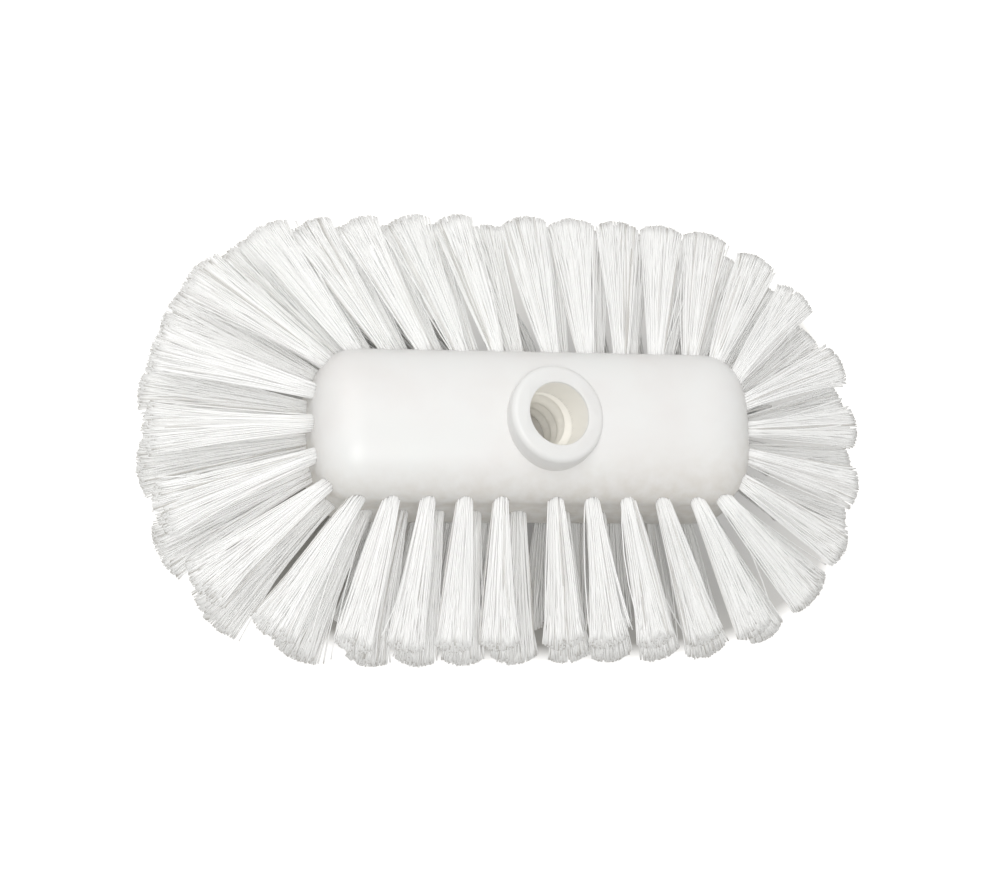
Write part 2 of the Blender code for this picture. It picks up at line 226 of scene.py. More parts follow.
# Light
WORLD_LIGHT = 0.63
KEY_WAY = Vector((-0.32, 0.32, 0.89))
KEY_POWER = 3.3
KEY_SIZE = 0.7
FILL_WAY = Vector((-0.15, -0.26, 0.95))
FILL_POWER = 3.1
FILL_SIZE = 0.25
LAMP_DISTANCE = 1.1
LAMP_COLOUR = (1.0, 0.995, 0.985)

# Floor: a grey base, so that a rounded patch under the brush keeps its shadow and shows darker
# than the shadow alone, as painted shade; the rest is lifted towards white, and the patch is made
# lighter towards its back by a painted glow
FLOOR_HALF = 4
FLOOR_SHADE_CENTRE = Vector((9, 13, 0)) * MM
FLOOR_SHADE_SIZE = (119 * MM, 78 * MM, 1)
FLOOR_SHADE_POWER = 3
FLOOR_SHADE_FADE = 0.80
FLOOR_LIFT = 0.75
FLOOR_BACK_GLOW = 0.32
FLOOR_BACK_GLOW_WAY = Vector((0.5, 0.85, 0))
FLOOR_BACK_GLOW_RUN = (-35 * MM, 30 * MM)


def outline_point(u, inset_y, inset_x):
    """Plan outline drawn in by two insets; u runs 0 to 4 over front, right end, back, left end."""
    section = int(u) % 4
    share = u - int(u)
    half = HALF_WIDTH - inset_y
    if section == 0:
        return Vector((STRAIGHT * (2 * share - 1), -half, 0))
    if section == 2:
        return Vector((STRAIGHT * (1 - 2 * share), half, 0))
    turn = math.pi * (share - 0.5)
    reach = (END_DEPTH - inset_x) * math.cos(turn) ** (2 / END_POWER)
    swing = half * math.copysign(abs(math.sin(turn)) ** (2 / END_POWER), math.sin(turn))
    if section == 1:
        return Vector((STRAIGHT + reach, swing, 0))
    return Vector((-STRAIGHT - reach, -swing, 0))


def arc_table():
    """Pairs of u and arc length along the outline, counted from the front's middle."""
    params = np.linspace(0, 4, OUTLINE_SAMPLES)
    points = np.array([outline_point(u, 0, 0)[:2] for u in params])
    steps = np.linalg.norm(np.diff(points, axis=0), axis=1)
    return params, np.concatenate([[0], np.cumsum(steps)]) - STRAIGHT


ARC_PARAMS, ARC_LENGTHS = arc_table()
PERIMETER = float(ARC_LENGTHS[-1] - ARC_LENGTHS[0])


def param_at(arc):
    """The outline's u at an arc length."""
    wrapped = (arc - ARC_LENGTHS[0]) % PERIMETER + ARC_LENGTHS[0]
    return float(np.interp(wrapped, ARC_LENGTHS, ARC_PARAMS))


def front_angle(x):
    """Plan angle of a front tuft: a fan that opens faster towards its ends."""
    share = (x - FRONT_MIDDLE) / STRAIGHT
    return FRONT_AIM + FRONT_TURN * share + FRONT_CURL * share * abs(share)


def back_angle(x):
    """Plan angle of a back tuft: an even fan."""
    return math.pi / 2 + BACK_TURN * (BACK_MIDDLE - x) / STRAIGHT


def fan_angle(arc):
    """Plan angle of a tuft at an arc length: slow fans along the sides, even turns at the ends."""
    start = FIRST_X + PITCH
    place = (arc - start) % PERIMETER + start
    back_first = PERIMETER / 2 - LAST_X
    back_last = PERIMETER / 2 - FIRST_X
    if place <= LAST_X:
        return front_angle(place)
    if place < back_first:
        share = (place - LAST_X) / (back_first - LAST_X)
        splay = SPLAY * math.exp(-((place - SPLAY_ARC) / SPLAY_WIDTH) ** 2)
        return front_angle(LAST_X) * (1 - share) + back_angle(LAST_X) * share + splay
    if place <= back_last:
        return back_angle(PERIMETER / 2 - place)
    share = (place - back_last) / (start + PERIMETER - back_last)
    return back_angle(FIRST_X) * (1 - share) + (front_angle(start) + math.tau) * share


def corner_gain(arc):
    """How much longer a tuft is near the right end's front corner."""
    return CORNER_GAIN * math.exp(-((arc - GAIN_ARC) / GAIN_WIDTH) ** 2)


def corner_cut(arc):
    """How much shorter a tuft is near the right end's back corner."""
    return CORNER_CUT * math.exp(-((arc - CORNER_ARC) / CORNER_WIDTH) ** 2)


def wall_insets(z):
    """Insets in Y and X of the block's outer surface at a height above its foot."""
    if z <= WALL_HEIGHT:
        inset = WALL_DRAFT * z / WALL_HEIGHT
        return inset, inset
    rise = min((z - WALL_HEIGHT) / CROWN_HEIGHT, 1)
    shrink = 1 - (1 - rise ** CROWN_POWER) ** (1 / CROWN_POWER)
    return (WALL_DRAFT + (HALF_WIDTH - WALL_DRAFT) * shrink,
            WALL_DRAFT + (END_DEPTH - WALL_DRAFT) * shrink)


def surface_point(arc, insets, z):
    """A point over the outline, at a height above the block's foot."""
    point = outline_point(param_at(arc), *insets)
    return Vector((point.x, point.y, STAND + z)) + CENTRE


def add_loft(mesh, rings):
    """Add a closed body through rings of equal point counts, with flat ends."""
    rows = [[mesh.verts.new(point) for point in ring] for ring in rings]
    for low, high in zip(rows, rows[1:]):
        for k in range(len(low)):
            after = (k + 1) % len(low)
            mesh.faces.new((low[k], low[after], high[after], high[k]))
    mesh.faces.new(reversed(rows[0]))
    mesh.faces.new(rows[-1])


def make_piece(name, mesh, finish):
    """Turn a bmesh into an object with outward faces."""
    bmesh.ops.recalc_face_normals(mesh, faces=mesh.faces)
    data = bpy.data.meshes.new(name)
    mesh.to_mesh(data)
    mesh.free()
    data.materials.append(finish)
    made = bpy.data.objects.new(name, data)
    bpy.context.scene.collection.objects.link(made)
    return made


def combine(target, tool, operation):
    """Apply a Boolean to the target and take the tool away."""
    change = target.modifiers.new("combine", "BOOLEAN")
    change.operation = operation
    change.solver = "EXACT"
    change.object = tool
    bpy.context.view_layer.update()
    graph = bpy.context.evaluated_depsgraph_get()
    result = bpy.data.meshes.new_from_object(target.evaluated_get(graph))
    target.modifiers.clear()
    target.data = result
    bpy.data.objects.remove(tool)


def keep(piece, slot, *nodes):
    """Ride a piece on the one body and hide the CAD parts of the nodes it stands for; its slot is
    not used.
    """
    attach(piece, "root")
    if nodes:
        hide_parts(*nodes)


# Materials

def new_material(name, colour, roughness):
    """A Principled material and its node tree's parts."""
    made = bpy.data.materials.new(name)
    made.use_nodes = True
    tree = made.node_tree
    shader = tree.nodes["Principled BSDF"]
    shader.inputs["Base Color"].default_value = (*colour, 1)
    shader.inputs["Roughness"].default_value = roughness
    return made, tree, shader


def noise_node(tree, scale, detail):
    """Noise in object space."""
    place = tree.nodes.new("ShaderNodeTexCoord")
    noise = tree.nodes.new("ShaderNodeTexNoise")
    noise.inputs["Scale"].default_value = scale
    noise.inputs["Detail"].default_value = detail
    tree.links.new(place.outputs["Object"], noise.inputs["Vector"])
    return noise.outputs["Fac"]


def ramp_node(tree, source, stops):
    """A colour ramp over a 0 to 1 value."""
    ramp = tree.nodes.new("ShaderNodeValToRGB")
    elements = ramp.color_ramp.elements
    while len(elements) < len(stops):
        elements.new(0.5)
    for element, (place, colour) in zip(elements, stops):
        element.position = place
        element.color = (*colour, 1)
    tree.links.new(source, ramp.inputs["Fac"])
    return ramp.outputs["Color"]


def range_node(tree, source, start, end, low=0.0, high=1.0):
    """A value that runs from low to high while the source runs from start to end."""
    node = tree.nodes.new("ShaderNodeMapRange")
    for name, value in (("From Min", start), ("From Max", end), ("To Min", low), ("To Max", high)):
        node.inputs[name].default_value = value
    tree.links.new(source, node.inputs["Value"])
    return node.outputs["Result"]


def depth_node(tree, way):
    """How far a point lies along a direction, in object space."""
    place = tree.nodes.new("ShaderNodeTexCoord")
    node = tree.nodes.new("ShaderNodeVectorMath")
    node.operation = "DOT_PRODUCT"
    node.inputs[1].default_value = way
    tree.links.new(place.outputs["Object"], node.inputs[0])
    return node.outputs["Value"]


def math_node(tree, operation, *values):
    """The result of a math node over sockets or plain numbers."""
    node = tree.nodes.new("ShaderNodeMath")
    node.operation = operation
    for socket, value in zip(node.inputs, values):
        if isinstance(value, (int, float)):
            socket.default_value = value
        else:
            tree.links.new(value, socket)
    return node.outputs["Value"]


def grime_and_shade_mask(tree):
    """Share of grime and painted shade: patchy, and full low on the front and the right end, where
    shade falls.
    """
    foot = (CENTRE + UP * STAND).dot(GRIME_SHADE_WAY)
    low = range_node(tree, depth_node(tree, GRIME_SHADE_WAY), foot + GRIME_SHADE_TOP, foot + GRIME_SHADE_FULL)
    speck = ramp_node(tree, noise_node(tree, scale=260, detail=6), (
        (0.35, (0.35, 0.35, 0.35)), (0.68, (1, 1, 1))))
    return math_node(tree, "MULTIPLY", low, speck)


def block_material():
    """White moulded plastic: faint clouding, a soft sheen, fine surface grain, and grime with
    painted shade low on the front and the right end.
    """
    made, tree, shader = new_material("block_white", BLOCK_WHITE, BLOCK_ROUGHNESS[0])
    tint = ramp_node(tree, noise_node(tree, scale=38, detail=5), (
        (0.30, BLOCK_WARM), (0.52, BLOCK_WHITE), (0.80, BLOCK_COOL)))
    # Patchy grime with painted shade: darker and warmer low on the front and the right end
    soiled_and_shaded = tree.nodes.new("ShaderNodeMix")
    soiled_and_shaded.data_type = "RGBA"
    soiled_and_shaded.inputs["B"].default_value = (*GRIME_AND_SHADE, 1)
    tree.links.new(grime_and_shade_mask(tree), soiled_and_shaded.inputs["Factor"])
    tree.links.new(tint, soiled_and_shaded.inputs["A"])
    tree.links.new(soiled_and_shaded.outputs["Result"], shader.inputs["Base Color"])
    sheen = range_node(tree, noise_node(tree, scale=120, detail=3), 0, 1, *BLOCK_ROUGHNESS)
    tree.links.new(sheen, shader.inputs["Roughness"])
    bump = tree.nodes.new("ShaderNodeBump")
    bump.inputs["Strength"].default_value = 0.06
    bump.inputs["Distance"].default_value = 0.2 * MM
    tree.links.new(noise_node(tree, scale=900, detail=4), bump.inputs["Height"])
    tree.links.new(bump.outputs["Normal"], shader.inputs["Normal"])
    shader.inputs["Subsurface Weight"].default_value = 0.08
    shader.inputs["Subsurface Radius"].default_value = (1.0, 0.95, 0.85)
    shader.inputs["Subsurface Scale"].default_value = 1.5 * MM
    return made


def socket_material():
    """The same plastic inside the socket, painted lighter and warmer than the block for the light
    that it passes back and forth.
    """
    return new_material("socket_lit_white", SOCKET_LIT_WHITE, roughness=0.4)[0]


def fibre_material():
    """White monofilament, each fibre a tone of its own at random, the darkest few painted as shade
    lines between fibres, that lets a lamp's light through.
    """
    made, tree, shader = new_material("fibre_white", FIBRE_WHITE, roughness=0.33)
    tone = tree.nodes.new("ShaderNodeAttribute")
    tone.attribute_name = "tone"
    tint = ramp_node(tree, tone.outputs["Fac"], (
        (0.0, FIBRE_DEEP_SHADE), (0.05, FIBRE_SHADE_LINE), (0.14, FIBRE_WHITE), (1.0, FIBRE_BRIGHT)))
    tree.links.new(tint, shader.inputs["Base Color"])
    path = tree.nodes.new("ShaderNodeLightPath")
    clear = tree.nodes.new("ShaderNodeBsdfTransparent")
    clear.inputs["Color"].default_value = (LAMP_PASSES, LAMP_PASSES, LAMP_PASSES, 1)
    mix = tree.nodes.new("ShaderNodeMixShader")
    tree.links.new(path.outputs["Is Shadow Ray"], mix.inputs["Fac"])
    tree.links.new(shader.outputs["BSDF"], mix.inputs[1])
    tree.links.new(clear.outputs["BSDF"], mix.inputs[2])
    tree.links.new(mix.outputs["Shader"], tree.nodes["Material Output"].inputs["Surface"])
    return made


# Block

def turns_of(count):
    """Even turns round a circle."""
    return [math.tau * k / count for k in range(count)]


def ring_arcs(steps_straight, steps_end):
    """Arc lengths round the outline, even within each straight and each end."""
    end_arc = PERIMETER / 2 - 2 * STRAIGHT
    arcs = [-STRAIGHT + 2 * STRAIGHT * k / steps_straight for k in range(steps_straight)]
    arcs += [STRAIGHT + end_arc * k / steps_end for k in range(steps_end)]
    return arcs + [arc + PERIMETER / 2 for arc in arcs]


def block_levels(foot_steps=5, wall_steps=12, crown_steps=28):
    """Profile of the block: foot, wall and crown, as insets and heights."""
    levels = []
    for k in range(foot_steps + 1):
        turn = math.pi / 2 * k / foot_steps
        z = FOOT_ROUND * (1 - math.cos(turn))
        inset = FOOT_ROUND * (1 - math.sin(turn)) + wall_insets(z)[0]
        levels.append(((inset, inset), z))
    for k in range(1, wall_steps + 1):
        z = FOOT_ROUND + (WALL_HEIGHT - FOOT_ROUND) * k / wall_steps
        levels.append((wall_insets(z), z))
    for k in range(1, crown_steps + 1):
        turn = CROWN_END * (k / crown_steps) ** CROWN_CROWDING
        z = WALL_HEIGHT + CROWN_HEIGHT * math.sin(turn) ** (2 / CROWN_POWER)
        levels.append((wall_insets(z), z))
    return levels


def collar_point(turn, radius, drop):
    """A point round the socket's axis: radius from it and drop below the rim."""
    return RIM_CENTRE + (SPOKE * math.cos(turn) + ACROSS * math.sin(turn)) * radius - AXIS * drop


def collar_rings(count=160, rounds=6, flares=8):
    """Rim, rounded edge, a wall flared a little towards the front, and a root in the crown."""
    turns = turns_of(count)
    rings = []
    for k in range(rounds + 1):
        bend = math.pi / 2 * k / rounds
        radius = COLLAR_RADIUS - COLLAR_EDGE * (1 - math.sin(bend))
        drop = COLLAR_EDGE * (1 - math.cos(bend))
        rings.append([collar_point(turn, radius, drop) for turn in turns])
    foot_z = STAND + WALL_HEIGHT + CROWN_HEIGHT * COLLAR_FOOT_SHARE
    for k in range(1, flares + 1):
        share = k / flares
        ring = []
        for turn, start in zip(turns, rings[rounds]):
            flare = COLLAR_FLARE + COLLAR_FRONT_FLARE * max(0, -math.sin(turn))
            point = start + Vector((math.cos(turn), math.sin(turn), 0)) * flare * share
            point.z = start.z + (foot_z - start.z) * share
            ring.append(point)
        rings.append(ring)
    rings.append([Vector((p.x, p.y, foot_z - COLLAR_ROOT)) for p in rings[-1]])
    return rings


def socket_rings(count=120):
    """The room for the thread, with an eased mouth that opens past the rim."""
    profile = [(MOUTH_RADIUS + out * MM, drop * MM) for out, drop in MOUTH_EASE]
    profile.append((MOUTH_RADIUS, SOCKET_DEPTH))
    return [[collar_point(turn, radius, drop) for turn in turns_of(count)]
            for radius, drop in profile]


def thread_radius(phase):
    """The thread's wall at a phase of its pitch: a long upper flank and a steep lower one."""
    phase %= 1
    share = phase / THREAD_FLANK if phase < THREAD_FLANK else (1 - phase) / (1 - THREAD_FLANK)
    return THREAD_ROOT + (THREAD_CREST - THREAD_ROOT) * share * share * (3 - 2 * share)


def socket_sleeve(finish, count=96, rows=150):
    """Lining of the socket: a smooth mouth, the thread below it and a closed foot."""
    turns = turns_of(count)
    edges = ((MOUTH_RADIUS + SLEEVE_WALL, SOCKET_DEPTH + 2 * SLEEVE_WALL),
             (MOUTH_RADIUS + SLEEVE_WALL, SLEEVE_TOP),
             (MOUTH_RADIUS - SLEEVE_STEP, SLEEVE_TOP))
    rings = [[collar_point(turn, radius, drop) for turn in turns] for radius, drop in edges]
    for k in range(rows + 1):
        down = (SOCKET_DEPTH - MOUTH_DEPTH) * k / rows
        drop = MOUTH_DEPTH + down
        lead = min(1, down / THREAD_LEAD)
        ring = []
        for turn in turns:
            radius = thread_radius(drop / THREAD_PITCH + turn / math.tau)
            ring.append(collar_point(turn, MOUTH_RADIUS + (radius - MOUTH_RADIUS) * lead, drop))
        rings.append(ring)
    foot_drop = SOCKET_DEPTH + SLEEVE_WALL
    rings.append([collar_point(turn, SLEEVE_FOOT, foot_drop) for turn in turns])
    mesh = bmesh.new()
    add_loft(mesh, rings)
    return make_piece("socket_thread", mesh, finish)


def frame_of(direction):
    """Two vectors square to a direction, the first one level, and along X for a plumb one."""
    side = direction.cross(UP)
    side = side.normalized() if side.length > 0.01 else Vector((1, 0, 0))
    return side, side.cross(direction)


def hole_cutter(tufts):
    """Drilled holes for the tufts, as one tool of separate cylinders."""
    mesh = bmesh.new()
    for tuft in tufts:
        side, lift = frame_of(tuft["direction"])
        rings = []
        for along in (-HOLE_DEPTH, DRILL_RUN_OUT):
            centre = tuft["root"] + tuft["direction"] * along
            rings.append([centre + (side * math.cos(turn) + lift * math.sin(turn)) * tuft["hole"]
                          for turn in turns_of(DRILL_SIDES)])
        add_loft(mesh, rings)
    return mesh


def build_block(tufts, finish):
    """The block without its CAD grooves, with the collar, socket and drilled holes."""
    body = bmesh.new()
    arcs = ring_arcs(steps_straight=40, steps_end=44)
    add_loft(body, [[surface_point(arc, insets, z) for arc in arcs]
                    for insets, z in block_levels()])
    block = make_piece("block_body", body, finish)
    for rings, operation in ((collar_rings(), "UNION"), (socket_rings(), "DIFFERENCE")):
        tool = bmesh.new()
        add_loft(tool, rings)
        combine(block, make_piece("tool", tool, finish), operation)
    combine(block, make_piece("tool", hole_cutter(tufts), finish), "DIFFERENCE")
    block.data.shade_smooth()
    block.data.set_sharp_from_angle(angle=BODY_CREASE)
    keep(block, "block_plastic", "block")
    sleeve = socket_sleeve(socket_material())
    sleeve.data.shade_smooth()
    sleeve.data.set_sharp_from_angle(angle=SLEEVE_CREASE)
    keep(sleeve, "block_plastic")


# Tufts

# How the tufts of a row lie: root, length and droop, their sways, the share of the corner's cut
ROW_LIE = {
    "upper": dict(z=UPPER_Z, insets=wall_insets(UPPER_Z), hole=HOLE_RADIUS,
                  length=49.3 * MM, long_side=math.radians(160),
                  droop=math.radians(15), flat_side=math.radians(150), sway=1, cut=1),
    "lower": dict(z=LOWER_Z, insets=wall_insets(LOWER_Z), hole=HOLE_RADIUS,
                  length=52.0 * MM, long_side=math.radians(170),
                  droop=math.radians(21.5), flat_side=math.radians(120), sway=1, cut=2),
    "rim": dict(z=0, insets=(RIM_INSET, RIM_INSET), hole=RIM_HOLE_RADIUS,
                length=51.5 * MM, long_side=0,
                droop=math.radians(47), flat_side=0, sway=0, cut=1),
}

# Fibres of a tuft and the size of its fan at the tips
ROW_BUILD = {
    "upper": dict(count=170, wide=16.0 * MM, high=11.0 * MM),
    "lower": dict(count=180, wide=18.0 * MM, high=11.0 * MM),
    "rim": dict(count=90, wide=12.0 * MM, high=9.5 * MM),
    "bottom": dict(count=70, wide=10.5 * MM, high=9.0 * MM),
}


def upper_arcs():
    """Arc lengths of the upper row, from the front's left to the left end's last tuft."""
    steps = [MIDDLE_PITCH / 2 + PITCH * k for k in range(HALF_SIDE)]
    front = [PATTERN_X - step for step in reversed(steps)] + [PATTERN_X + step for step in steps]
    back = [PERIMETER / 2 - arc for arc in reversed(front)]
    right = np.linspace(front[-1], back[0], RIGHT_END + 2)[1:-1]
    left = np.linspace(back[-1], front[0] + PERIMETER, LEFT_END + 2)[1:-1]
    return [float(arc) for arc in (*front, *right, *back, *left)]


def wall_tuft(node, arc, row):
    """A tuft that stands out of the wall or the bottom edge."""
    lie = ROW_LIE[row]
    angle = fan_angle(arc)
    fall = lie["droop"] - lie["sway"] * DROOP_SWAY * math.cos(angle - lie["flat_side"])
    plan = Vector((math.cos(angle), math.sin(angle), 0))
    reach = lie["length"] + lie["sway"] * LENGTH_SWAY * math.cos(angle - lie["long_side"])
    return dict(node=node, row=row, root=surface_point(arc, lie["insets"], lie["z"]),
                direction=plan * math.cos(fall) - UP * math.sin(fall),
                length=reach - lie["cut"] * corner_cut(arc) + corner_gain(arc), hole=lie["hole"])


def all_tufts():
    """Every tuft of the brush, with the node it belongs to."""
    names = ("front_left", "front_right", "right_end", "back_right", "back_left", "left_end")
    upper = upper_arcs()
    lower = [(a + b) / 2 for a, b in zip(upper, upper[1:] + [upper[0] + PERIMETER])]
    front = 2 * HALF_SIDE - 1
    lower[:front] = [arc - LOWER_FRONT_SHIFT for arc in lower[:front]]
    lower[-LEFT_END - 1:] = [arc - LOWER_LEFT_SHIFT for arc in lower[-LEFT_END - 1:]]
    upper_counts = (HALF_SIDE, HALF_SIDE, RIGHT_END, HALF_SIDE, HALF_SIDE, LEFT_END)
    lower_counts = (HALF_SIDE, HALF_SIDE - 1, RIGHT_END + 1,
                    HALF_SIDE - 1, HALF_SIDE, LEFT_END + 1)
    rows = (("upper", upper, upper_counts), ("lower", lower, lower_counts),
            ("rim", upper, upper_counts))
    tufts = []
    for row, arcs, counts in rows:
        labels = [name for name, count in zip(names, counts) for _ in range(count)]
        tufts += [wall_tuft(f"{row}_{name}", arc, row) for name, arc in zip(labels, arcs)]
    for k, name in enumerate(("bottom_front", "bottom_middle", "bottom_back")):
        for place in range(BOTTOM_COUNT):
            x = PITCH * (place - (BOTTOM_COUNT - 1) / 2)
            root = Vector((x, BOTTOM_SPACING * (k - 1), STAND)) + CENTRE
            tufts.append(dict(node=name, row="bottom", root=root, direction=-UP, length=STAND,
                              hole=HOLE_RADIUS))
    return tufts


def share_past(value, start, run):
    """0 up to the start, 1 from a run past it and even between; a run below 0 goes down."""
    return min(max((value - start) / run, 0), 1)


def fan_width(root):
    """How wide a tuft fans by its place: wider at the left end, narrower along the front."""
    left = share_past(root.x, LEFT_FAN_START, LEFT_FAN_RUN)
    front = share_past(root.y, FRONT_FAN_START, FRONT_FAN_RUN)
    return 1 + LEFT_FAN * left + FRONT_FAN * front * (1 - left)


def tuft_spread(tuft, rng):
    """Offsets of a tuft's fibres across it, at the root and the tips, and their shares from its
    middle to its edge."""
    build = ROW_BUILD[tuft["row"]]
    order = np.arange(build["count"])
    spread = np.sqrt((order + 0.5) / build["count"])
    turn = order * GOLDEN + rng.uniform(0, math.tau)
    disc = np.stack([spread * np.cos(turn), spread * np.sin(turn)], axis=1)
    disc += rng.normal(0, ROOT_JITTER, disc.shape)
    clumps = rng.uniform(-CLUMP_REACH, CLUMP_REACH, (CLUMPS, 2))
    nearest = clumps[np.argmin(((disc[:, None] - clumps[None]) ** 2).sum(axis=2), axis=1)]
    gather = rng.uniform(*CLUMP_PULL, (build["count"], 1))
    tips = disc * (1 - gather) + nearest * gather + rng.normal(0, TIP_JITTER, disc.shape)
    stray = rng.random(build["count"]) < STRAY_SHARE
    tips[stray] += rng.normal(0, STRAY_REACH, (int(stray.sum()), 2))
    size = np.array([build["wide"] * fan_width(tuft["root"]), build["high"]]) / 2
    return disc * (tuft["hole"] - ROOT_SLACK), tips * size, np.linalg.norm(tips, axis=1)


def tuft_fibres(tuft, rng):
    """Corner points of a tuft's fibres, none below the floor, and their tones: arrays of fibre,
    ring, side and x, y, z, and of fibre and ring."""
    root_off, tip_off, edge = tuft_spread(tuft, rng)
    count = len(edge)
    side, lift = (np.array(v) for v in frame_of(tuft["direction"]))
    slant = 0 if tuft["row"] == "bottom" else CUT_SLANT
    reach = (tuft["length"] - TIP_DOME * edge ** 2 - slant * tip_off[:, 1]
             + rng.normal(0, CUT_ROUGHNESS, count))
    bow = rng.normal(0, BOW, (count, 2))
    along = -ROOT_DEPTH + (reach[:, None] + ROOT_DEPTH) * FIBRE_SHARES
    back = share_past(tuft["root"].y, BACK_FLARE_START, BACK_FLARE_RUN)
    flare = FIBRE_SHARES ** (FLARE_POWER + BACK_FLARE * back)
    off = root_off[:, None] + (tip_off - root_off)[:, None] * flare[None, :, None]
    off += bow[:, None] * (4 * FIBRE_SHARES * (1 - FIBRE_SHARES))[None, :, None]
    centres = (np.array(tuft["root"]) + along[..., None] * np.array(tuft["direction"])
               + off[..., :1] * side + off[..., 1:] * lift)
    spin = (rng.uniform(0, math.tau, count)[:, None]
            + np.arange(FIBRE_SIDES) * math.tau / FIBRE_SIDES)
    corners = (np.cos(spin)[..., None] * side + np.sin(spin)[..., None] * lift) * FIBRE_RADIUS
    points = centres[:, :, None] + corners[:, None]
    points[..., 2] = np.maximum(points[..., 2], 0)
    tones = np.repeat(rng.random(count)[:, None], FIBRE_RINGS, axis=1)
    # Painted shade: a share of fibres take the darkest tone at their ends
    tones[rng.random(count) < SHADED_ENDS, -1] = 0
    return points, tones


def fibre_piece(name, points, tones, finish):
    """One piece of fibres from their corner points and tones."""
    count = len(points)
    per = FIBRE_RINGS * FIBRE_SIDES
    ring, corner = np.meshgrid(np.arange(FIBRE_RINGS - 1), np.arange(FIBRE_SIDES), indexing="ij")
    low = ring * FIBRE_SIDES
    after = (corner + 1) % FIBRE_SIDES
    quads = np.stack([low + corner, low + after, low + after + FIBRE_SIDES,
                      low + corner + FIBRE_SIDES], axis=-1).reshape(-1, 4)
    caps = np.array([np.arange(FIBRE_SIDES)[::-1], per - FIBRE_SIDES + np.arange(FIBRE_SIDES)])
    one = np.concatenate([quads, caps])
    faces = (one[None] + per * np.arange(count)[:, None, None]).reshape(-1, 4)
    data = bpy.data.meshes.new(name)
    data.from_pydata(points.reshape(-1, 3).tolist(), [], faces.tolist())
    data.polygons.foreach_set("use_smooth", np.tile(np.arange(len(one)) < len(quads), count))
    tone = data.attributes.new("tone", "FLOAT", "POINT")
    tone.data.foreach_set("value", np.repeat(tones.ravel(), FIBRE_SIDES).astype(np.float32))
    data.materials.append(finish)
    data.update()
    made = bpy.data.objects.new(name, data)
    bpy.context.scene.collection.objects.link(made)
    return made


def build_tufts(tufts, finish):
    """A piece of fibres for each CAD node of tufts. In the wall's rows a second piece holds the
    fibres that let soft light by."""
    rng = np.random.default_rng(SEED)
    for node in dict.fromkeys(tuft["node"] for tuft in tufts):
        packs = [tuft_fibres(tuft, rng) for tuft in tufts if tuft["node"] == node]
        points = np.concatenate([pack[0] for pack in packs])
        tones = np.concatenate([pack[1] for pack in packs])
        shading = np.arange(len(points)) % SHADE_STEPS < SHADE_SHARE[node.split("_")[0]]
        piece = fibre_piece(f"{node}_fibres", points[shading], tones[shading], finish)
        keep(piece, "fibre", node)
        if not shading.all():
            clear = fibre_piece(f"{node}_clear_fibres", points[~shading], tones[~shading], finish)
            clear.visible_diffuse = False
            keep(clear, "fibre")


# Camera, light and floor

def place_camera():
    """Camera at the photograph's angle."""
    level = Vector((math.cos(CAMERA_AZIMUTH), math.sin(CAMERA_AZIMUTH), 0))
    ahead = UP.cross(level)
    toward = UP * math.sin(CAMERA_HEIGHT) - ahead * math.cos(CAMERA_HEIGHT)
    upright = toward.cross(level)
    right = level * math.cos(CAMERA_ROLL) + upright * math.sin(CAMERA_ROLL)
    above = upright * math.cos(CAMERA_ROLL) - level * math.sin(CAMERA_ROLL)
    data = bpy.data.cameras.new("camera")
    data.sensor_fit = "HORIZONTAL"
    data.sensor_width = SENSOR
    data.lens = SENSOR * FOCAL_PIXELS / IMAGE_WIDTH
    data.clip_start = 0.01
    made = bpy.data.objects.new("camera", data)
    bpy.context.scene.collection.objects.link(made)
    eye = CAMERA_AIM + CENTRE + toward * CAMERA_DISTANCE
    made.matrix_world = Matrix((
        (right.x, above.x, toward.x, eye.x), (right.y, above.y, toward.y, eye.y),
        (right.z, above.z, toward.z, eye.z), (0, 0, 0, 1)))
    bpy.context.scene.camera = made


def area_light(name, place, aim, size, power):
    """A soft square lamp."""
    data = bpy.data.lights.new(name, "AREA")
    data.size = size
    data.energy = power
    data.color = LAMP_COLOUR
    made = bpy.data.objects.new(name, data)
    bpy.context.scene.collection.objects.link(made)
    made.location = place
    made.rotation_euler = (aim - place).to_track_quat("-Z", "Y").to_euler()


def seen_rays(tree):
    """1 for the rays that show the background, direct, mirrored or through glass; else 0."""
    path = tree.nodes.new("ShaderNodeLightPath")
    crisp = math_node(tree, "SUBTRACT", path.outputs["Is Transmission Ray"],
                      path.outputs["Is Diffuse Ray"])
    seen = math_node(tree, "MAXIMUM", path.outputs["Is Camera Ray"], path.outputs["Is Glossy Ray"])
    return math_node(tree, "MAXIMUM", seen, crisp)


def light_scene():
    """Soft light from above, strongest from the picture's top left, before a white world."""
    scene = bpy.context.scene
    scene.view_settings.view_transform = "Standard"
    world = bpy.data.worlds.new("studio")
    scene.world = world
    world.use_nodes = True
    tree = world.node_tree
    mix = tree.nodes.new("ShaderNodeMixShader")
    tree.links.new(seen_rays(tree), mix.inputs["Fac"])
    for k, (node, strength) in enumerate(((tree.nodes["Background"], WORLD_LIGHT),
                                          (tree.nodes.new("ShaderNodeBackground"), 1.0))):
        node.inputs["Color"].default_value = (1, 1, 1, 1)
        node.inputs["Strength"].default_value = strength
        tree.links.new(node.outputs["Background"], mix.inputs[1 + k])
    tree.links.new(mix.outputs["Shader"], tree.nodes["World Output"].inputs["Surface"])
    aim = Vector((0, 0, STAND))
    for name, way, size, power in (("key", KEY_WAY, KEY_SIZE, KEY_POWER),
                                   ("fill", FILL_WAY, FILL_SIZE, FILL_POWER)):
        area_light(name, aim + way.normalized() * LAMP_DISTANCE, aim, size, power)


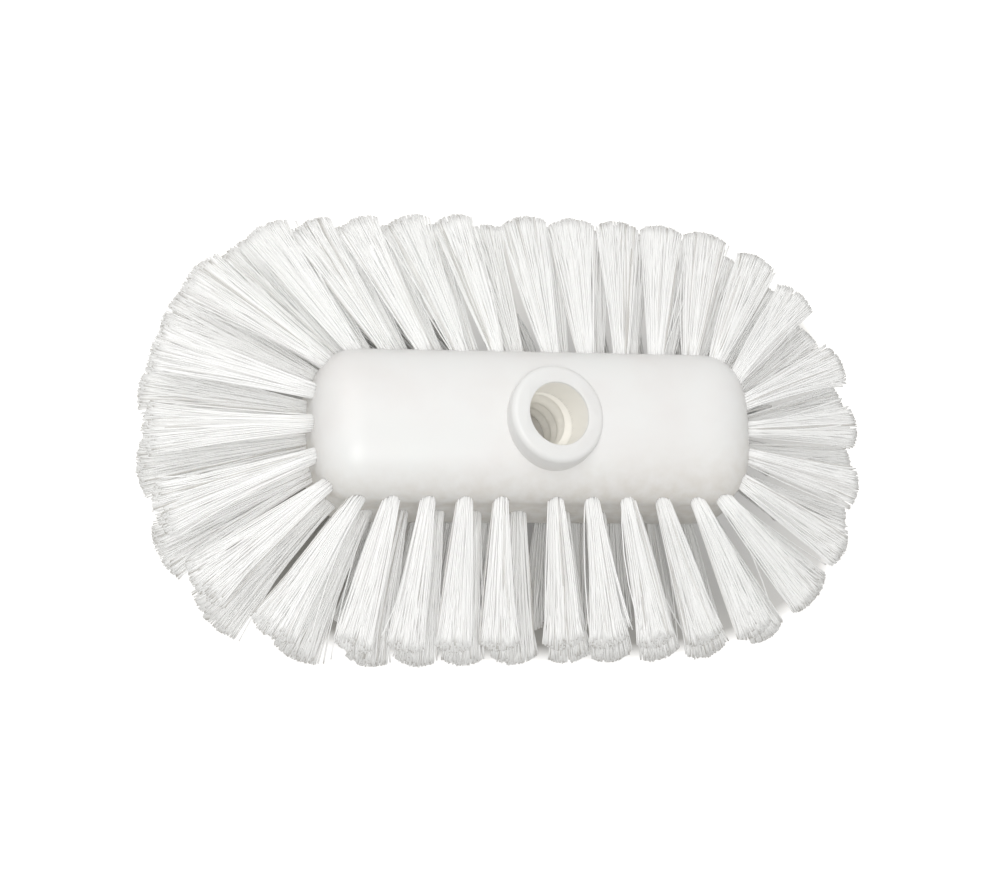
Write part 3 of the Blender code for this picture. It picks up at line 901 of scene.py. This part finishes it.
def floor_lift(tree):
    """Strength of the glow that turns the floor white past the brush and paints its shade patch
    lighter grey towards its back.
    """
    place = tree.nodes.new("ShaderNodeTexCoord")
    mapping = tree.nodes.new("ShaderNodeMapping")
    mapping.vector_type = "TEXTURE"
    mapping.inputs["Location"].default_value = FLOOR_SHADE_CENTRE + CENTRE
    mapping.inputs["Scale"].default_value = FLOOR_SHADE_SIZE
    parts = tree.nodes.new("ShaderNodeSeparateXYZ")
    tree.links.new(place.outputs["Object"], mapping.inputs["Vector"])
    tree.links.new(mapping.outputs["Vector"], parts.inputs["Vector"])
    powers = [math_node(tree, "POWER", math_node(tree, "ABSOLUTE", parts.outputs[name]),
                        FLOOR_SHADE_POWER) for name in ("X", "Y")]
    edge = range_node(tree, math_node(tree, "ADD", *powers), FLOOR_SHADE_FADE, 1, 0, FLOOR_LIFT)
    grey = range_node(tree, depth_node(tree, FLOOR_BACK_GLOW_WAY), *FLOOR_BACK_GLOW_RUN, 0, FLOOR_BACK_GLOW)
    return math_node(tree, "MULTIPLY", seen_rays(tree), math_node(tree, "MAXIMUM", edge, grey))


def floor_material():
    """Grey floor that keeps the shadow under the brush and shows darker there than the shadow
    alone, as painted shade, and glows white past it; seen from below it is clear.
    """
    made, tree, shader = new_material("floor_shade_and_glow", FLOOR_DARK_BASE, roughness=0.9)
    glow = tree.nodes.new("ShaderNodeEmission")
    both = tree.nodes.new("ShaderNodeAddShader")
    tree.links.new(floor_lift(tree), glow.inputs["Strength"])
    tree.links.new(shader.outputs["BSDF"], both.inputs[0])
    tree.links.new(glow.outputs["Emission"], both.inputs[1])
    facing = tree.nodes.new("ShaderNodeNewGeometry")
    clear = tree.nodes.new("ShaderNodeBsdfTransparent")
    mix = tree.nodes.new("ShaderNodeMixShader")
    tree.links.new(facing.outputs["Backfacing"], mix.inputs["Fac"])
    tree.links.new(both.outputs["Shader"], mix.inputs[1])
    tree.links.new(clear.outputs["BSDF"], mix.inputs[2])
    tree.links.new(mix.outputs["Shader"], tree.nodes["Material Output"].inputs["Surface"])
    return made


def build_floor():
    """One wide square under the brush."""
    mesh = bmesh.new()
    bmesh.ops.create_grid(mesh, x_segments=1, y_segments=1, size=FLOOR_HALF)
    make_piece("floor", mesh, floor_material())


place_camera()
light_scene()
build_floor()
TUFTS = all_tufts()
build_block(TUFTS, block_material())
build_tufts(TUFTS, fibre_material())
